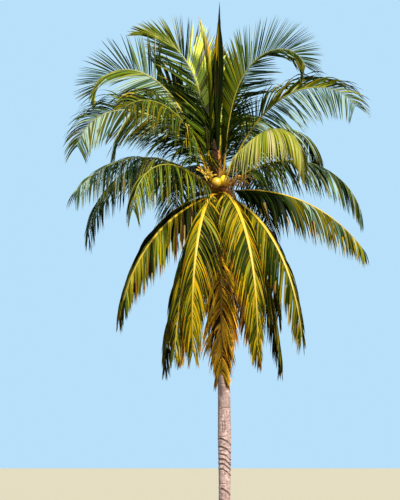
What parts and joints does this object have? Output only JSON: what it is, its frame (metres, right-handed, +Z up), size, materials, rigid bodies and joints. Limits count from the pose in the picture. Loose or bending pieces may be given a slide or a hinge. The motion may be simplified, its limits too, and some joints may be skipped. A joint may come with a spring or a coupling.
{
  "type": "coconut palm tree",
  "caption": "Tall coconut palm with a slender ringed trunk, flared foot and a full crown of arching and hanging feather fronds, round nuts and an upright spear leaf.",
  "frame": {"origin": "centre of the flat cut under the trunk, at ground level", "axes": "+Z up the trunk, -Y towards the picture's viewer, +X to that viewer's right"},
  "size_m": [6.9109, 6.177, 11.8],
  "materials": {
    "bark": "dry grey bark with ring scars",
    "sheath": "fibrous brown leaf sheaths",
    "spear_leaf": "dark folded leaf",
    "young_leaf": "satin yellow-green leaf",
    "green_leaf": "satin green leaf",
    "yellow_leaf": "old leaf turning yellow and orange",
    "straw_leaf": "dry straw-brown leaf",
    "nut": "smooth waxy husk",
    "flower": "matte flower stalks",
    "spathe": "woody brown spathe"
  },
  "bodies": {
    "root": {"trunk": "bark", "heart": "sheath", "spear": "spear_leaf", "nuts_near": "nut", "nuts_far": "nut", "flowers_right": "flower", "flowers_left": "flower", "spathe_near": "spathe", "spathe_left": "spathe", "spathe_right": "spathe", "frond_young_left": "young_leaf", "frond_young_right": "young_leaf", "frond_top_left": "green_leaf", "frond_top_right": "green_leaf", "frond_top_right_outer": "green_leaf", "frond_middle_right": "green_leaf", "frond_middle_right_outer": "green_leaf", "frond_top_far": "green_leaf", "frond_top_far_outer": "green_leaf", "frond_upper_left": "green_leaf", "frond_upper_left_outer": "green_leaf", "frond_upper_right": "green_leaf", "frond_upper_right_outer": "green_leaf", "frond_upper_near": "green_leaf", "frond_middle_left": "green_leaf", "frond_middle_left_outer": "green_leaf", "frond_middle_near": "green_leaf", "frond_middle_near_outer": "green_leaf", "frond_lower_right": "green_leaf", "frond_lower_right_outer": "green_leaf", "frond_lower_left": "green_leaf", "frond_lower_left_outer": "green_leaf", "frond_near_left": "green_leaf", "frond_near_left_outer": "green_leaf", "frond_level_right": "yellow_leaf", "frond_drooping_left": "yellow_leaf", "frond_hanging_near_left": "yellow_leaf", "frond_hanging_near_right": "yellow_leaf", "frond_hanging_right": "yellow_leaf", "frond_hanging_left": "yellow_leaf", "frond_far_upper_1": "green_leaf", "frond_far_upper_1_outer": "green_leaf", "frond_far_upper_2": "green_leaf", "frond_far_upper_2_outer": "green_leaf", "frond_far_middle_1": "green_leaf", "frond_far_middle_1_outer": "green_leaf", "frond_far_middle_2": "green_leaf", "frond_far_middle_2_outer": "green_leaf", "frond_far_middle_3": "green_leaf", "frond_far_middle_3_outer": "green_leaf", "frond_far_lower_1": "yellow_leaf", "frond_far_lower_2": "yellow_leaf", "frond_far_lower_3": "yellow_leaf", "frond_far_hanging_1": "yellow_leaf", "frond_far_hanging_2": "yellow_leaf", "frond_far_hanging_3": "yellow_leaf", "frond_withered_near": "straw_leaf", "frond_withered_right": "straw_leaf", "frond_withered_left": "straw_leaf"}
  },
  "joints": []
}
